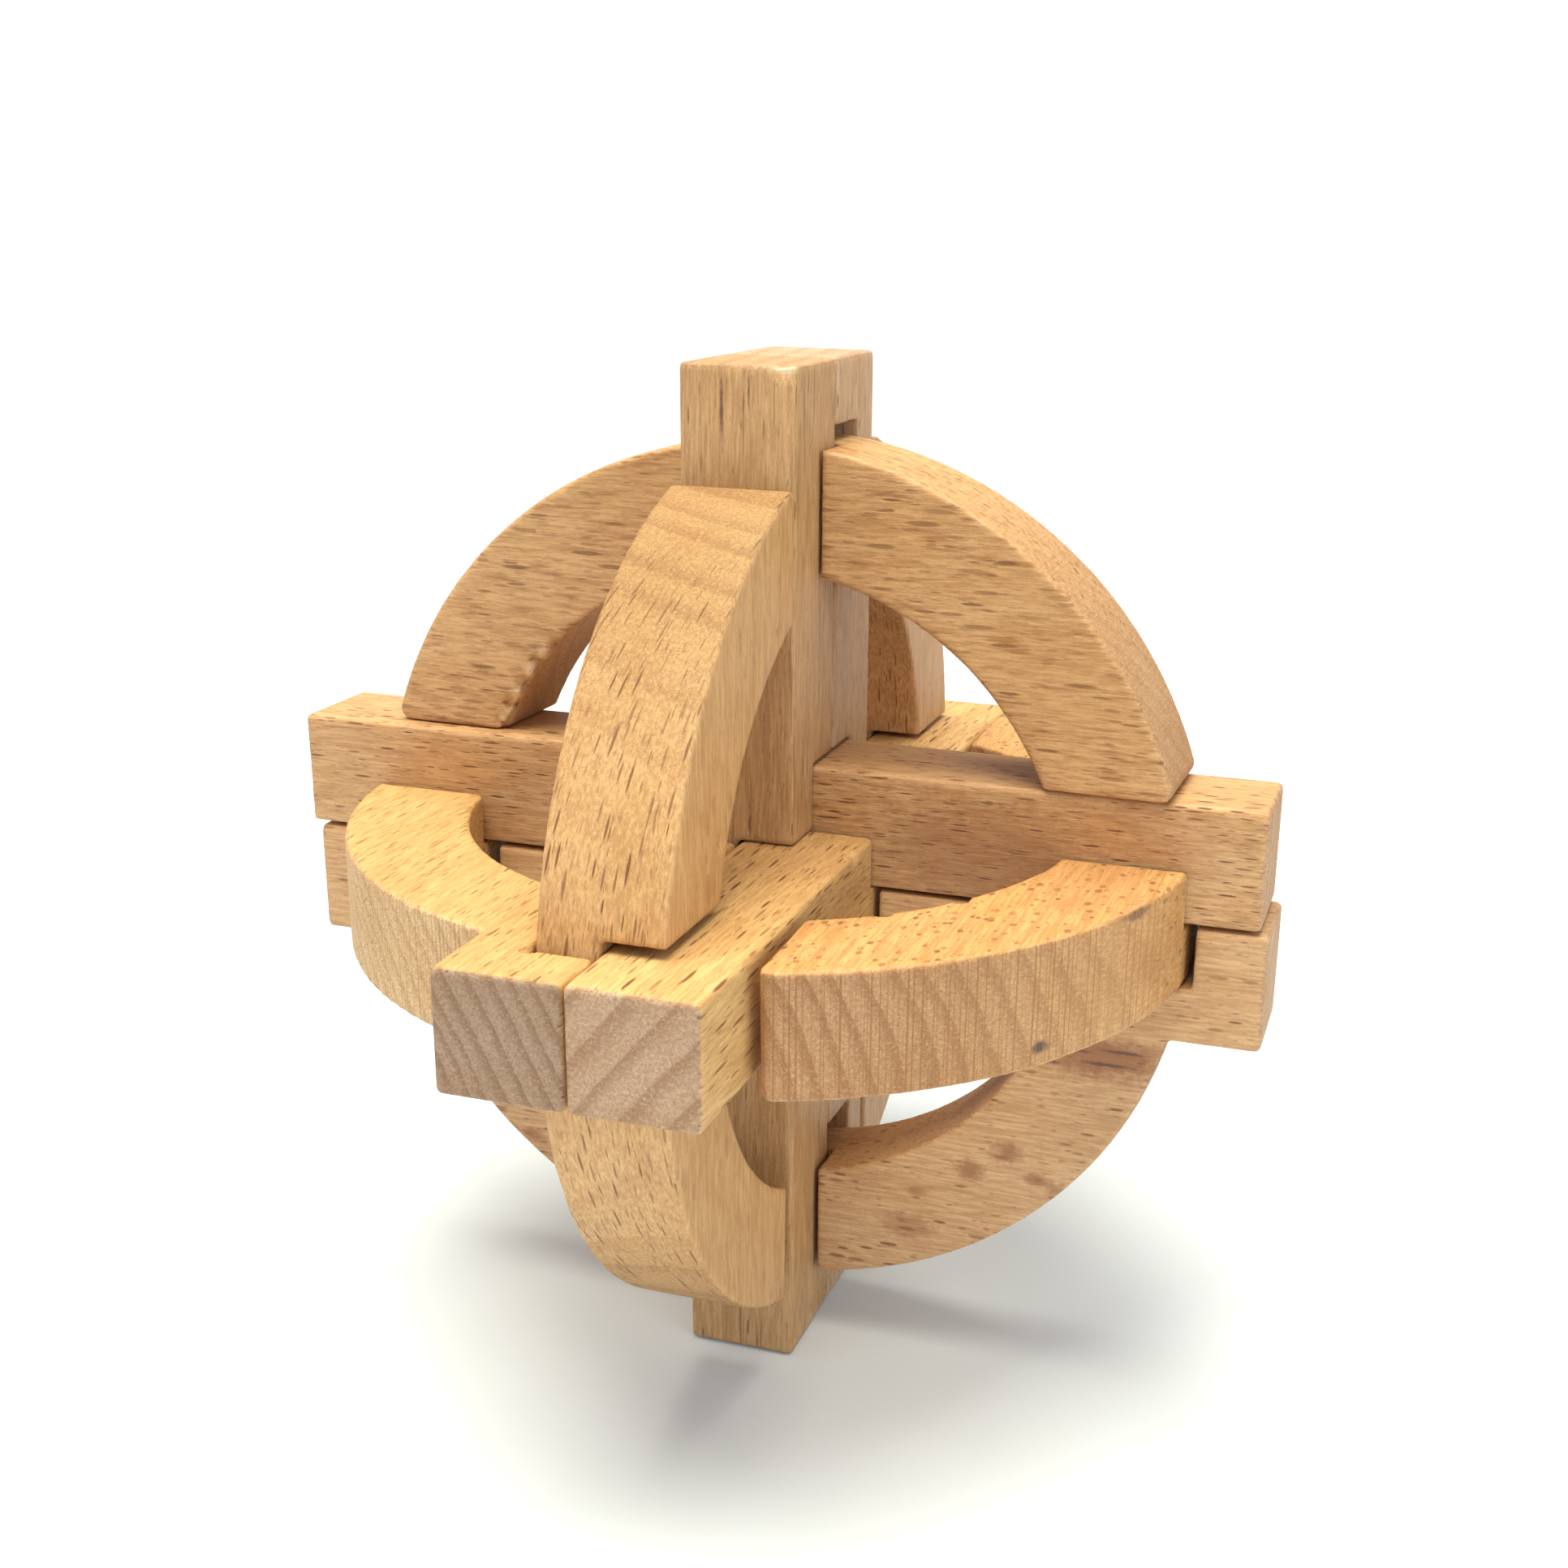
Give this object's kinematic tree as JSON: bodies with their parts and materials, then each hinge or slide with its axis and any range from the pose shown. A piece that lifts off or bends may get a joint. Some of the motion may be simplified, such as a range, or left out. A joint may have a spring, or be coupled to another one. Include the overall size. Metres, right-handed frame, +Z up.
{
  "type": "wooden burr puzzle",
  "caption": "Wooden ball burr puzzle: crossed pairs of square bars wrapped by split rings, with a plain key bar that slides out endways.",
  "frame": {"origin": "centre of the puzzle's footprint, level with the lower ends of the two upright bars that it stands on", "axes": "+Z up along the upright bars, +X to the right along the key bar, +Y to the back"},
  "size_m": [0.1085, 0.1076, 0.1076],
  "materials": {
    "key_wood": "satin",
    "right_bar_wood": "satin",
    "left_bar_wood": "satin",
    "front_bar_wood": "satin",
    "back_bar_wood": "satin",
    "lower_bar_wood": "satin",
    "right_ring_wood": "satin",
    "upper_ring_wood": "satin",
    "front_ring_wood": "satin",
    "back_ring_wood": "satin"
  },
  "bodies": {
    "puzzle": {"right_bar": "right_bar_wood", "left_bar_with_ring": "left_bar_wood", "front_bar": "front_bar_wood", "back_bar": "back_bar_wood", "lower_bar_with_ring": "lower_bar_wood", "right_half_ring": "right_ring_wood", "upper_half_ring": "upper_ring_wood", "front_half_ring": "front_ring_wood", "back_half_ring": "back_ring_wood"},
    "key": {"key_bar": "key_wood"}
  },
  "joints": [
    {"name": "key_slide", "type": "slide", "parent": "puzzle", "child": "key", "axis": [1, 0, 0], "range_m": [-0.11, 0.11]}
  ]
}
